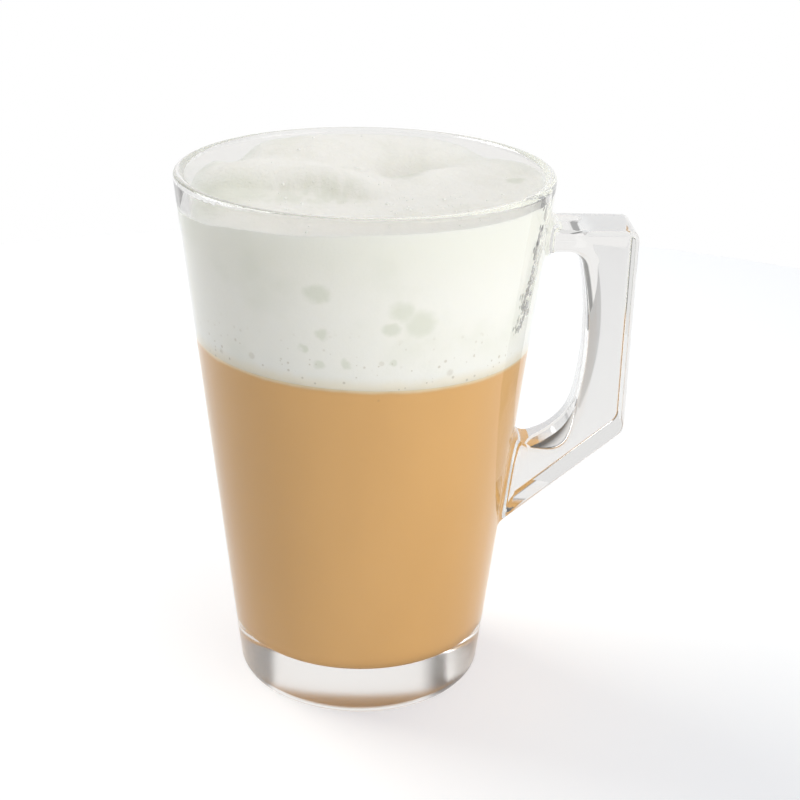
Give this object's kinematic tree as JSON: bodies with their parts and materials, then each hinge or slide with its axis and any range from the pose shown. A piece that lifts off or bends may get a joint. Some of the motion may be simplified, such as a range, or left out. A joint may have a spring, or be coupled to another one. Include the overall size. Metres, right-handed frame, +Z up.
{
  "type": "cappuccino in a glass mug",
  "caption": "Cappuccino in a tapered clear glass mug with an angular handle: milky coffee under thick, uneven white milk foam that nearly reaches the rim.",
  "frame": {"origin": "on the mug's axis, at the flat underside that it stands on", "axes": "+Z up along the mug's axis, +X from the axis towards the handle, +Y across the handle"},
  "size_m": [0.0916, 0.0752, 0.11],
  "materials": {
    "glass": "clear fire-polished soda-lime glass",
    "coffee": "opaque milky coffee, wet",
    "foam": "soft, fine-bubbled milk foam"
  },
  "bodies": {
    "root": {"glass_mug": "glass", "coffee": "coffee", "milk_foam": "foam"}
  },
  "joints": []
}
